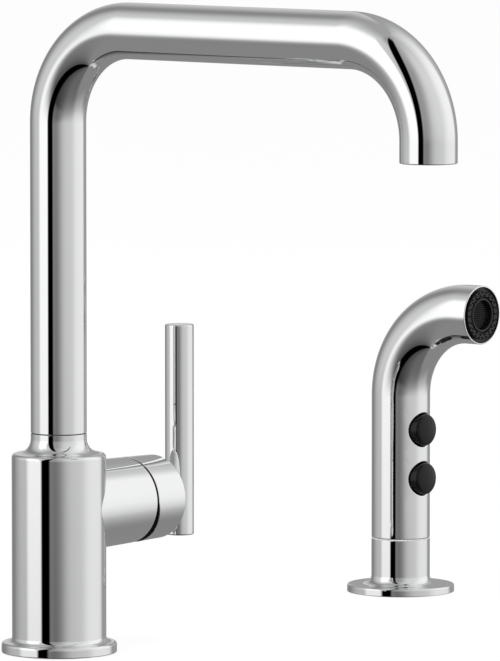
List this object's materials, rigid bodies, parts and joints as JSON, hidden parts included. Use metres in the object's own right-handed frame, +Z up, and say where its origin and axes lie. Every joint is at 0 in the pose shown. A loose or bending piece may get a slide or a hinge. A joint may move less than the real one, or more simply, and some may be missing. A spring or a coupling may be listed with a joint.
{
  "type": "side spray kitchen faucet",
  "caption": "Single-hole kitchen faucet with a tall round-tube swivel spout, side lever on a short hub, and a separate deck-mounted side spray with push buttons.",
  "frame": {"origin": "on the faucet's vertical axis at the deck surface, in the centre of its deck hole", "axes": "+Z up along the column, +X along the lever's hub towards the side spray, -Y the way the spout reaches"},
  "size_m": [0.3135, 0.2576, 0.3463],
  "materials": {
    "chrome": "polished",
    "black_rubber": "matte",
    "brass": "satin",
    "stainless_steel": "satin",
    "white_plastic": "satin",
    "grey_plastic": "satin",
    "alumina": "satin",
    "button_plastic": "gloss",
    "face_plastic": "satin"
  },
  "bodies": {
    "faucet": {"base_gasket": "black_rubber", "base_ring": "chrome", "faucet_body": "chrome", "hub_sleeve": "chrome", "port_plate": "brass", "port_block": "brass", "port_block_seal": "black_rubber", "mounting_shank": "brass", "deck_washer": "black_rubber", "clamp_washer": "stainless_steel", "mounting_nut": "brass", "lock_screws": "stainless_steel", "upper_bush": "grey_plastic", "lower_bush": "white_plastic", "spout_retaining_screw": "stainless_steel", "diverter_housing": "brass", "diverter_spring": "stainless_steel", "cartridge_body": "grey_plastic", "cartridge_seals": "black_rubber", "fixed_disc": "alumina", "bonnet_nut": "brass", "hub_seal": "black_rubber", "holder_gasket": "black_rubber", "spray_holder": "chrome", "holder_liner": "white_plastic", "holder_shank": "brass", "holder_washer": "black_rubber", "holder_nut": "brass"},
    "spout": {"spout_tube": "chrome", "spout_spigot": "brass", "spout_seals": "black_rubber", "aerator_housing": "chrome", "aerator_screen": "white_plastic", "aerator_core": "white_plastic", "aerator_washer": "black_rubber"},
    "cartridge_rotor": {"stem_carrier": "white_plastic", "stem_pin": "stainless_steel"},
    "handle": {"cartridge_stem": "stainless_steel", "handle_cap": "chrome", "handle_set_screw": "stainless_steel", "lever_post": "chrome", "lever_rod": "chrome"},
    "mixing_disc": {"moving_disc": "alumina", "disc_coupler": "grey_plastic"},
    "diverter": {"diverter_spool": "white_plastic"},
    "spray_hose_end": {"hose_connector": "brass", "connector_seal": "black_rubber"},
    "wand": {"wand_shell": "chrome", "wand_spigot": "white_plastic", "wand_core": "white_plastic", "waterway_tube": "white_plastic", "head_manifold": "white_plastic", "spray_face": "face_plastic", "stream_insert": "face_plastic", "stream_screen": "face_plastic", "upper_button_spring": "stainless_steel", "lower_button_spring": "stainless_steel"},
    "upper_button": {"upper_button": "button_plastic"},
    "lower_button": {"lower_button": "button_plastic"}
  },
  "joints": [
    {"name": "spout_swivel", "type": "hinge", "parent": "faucet", "child": "spout", "pos_m": [0, 0, 0.096], "axis": [0, 0, 1], "continuous": true},
    {"name": "handle_turn", "type": "hinge", "parent": "faucet", "child": "cartridge_rotor", "pos_m": [0.033, 0, 0.0629], "axis": [1, 0, 0], "range_deg": [-45, 45]},
    {"name": "handle_tilt", "type": "hinge", "parent": "cartridge_rotor", "child": "handle", "pos_m": [0.033, 0, 0.0629], "axis": [0, 1, 0], "range_deg": [0, 12]},
    {"name": "disc_slide", "type": "slide", "parent": "cartridge_rotor", "child": "mixing_disc", "axis": [0, 0, 1], "range_m": [0, 0.002]},
    {"name": "diverter_shift", "type": "slide", "parent": "faucet", "child": "diverter", "axis": [0, 0, 1], "range_m": [0, 0.003], "stiffness_N_per_m": 200, "springref_m": -0.003, "deforming": ["diverter_spring"]},
    {"name": "spray_lift", "type": "slide", "parent": "faucet", "child": "spray_hose_end", "axis": [0, 0, 1], "range_m": [0, 0.12]},
    {"name": "spray_swivel", "type": "hinge", "parent": "spray_hose_end", "child": "wand", "pos_m": [0.2627, 0.0174, 0], "axis": [0, 0, 1], "continuous": true},
    {"name": "upper_button_press", "type": "slide", "parent": "wand", "child": "upper_button", "axis": [0, 1, 0], "range_m": [0, 0.002], "stiffness_N_per_m": 400, "springref_m": -0.003, "deforming": ["upper_button_spring"]},
    {"name": "lower_button_press", "type": "slide", "parent": "wand", "child": "lower_button", "axis": [0, 1, 0], "range_m": [0, 0.002], "stiffness_N_per_m": 400, "springref_m": -0.003, "deforming": ["lower_button_spring"]}
  ],
  "couplings": [
    {"joint": "disc_slide", "follows": "handle_tilt", "m_per_rad": 0.0087}
  ]
}
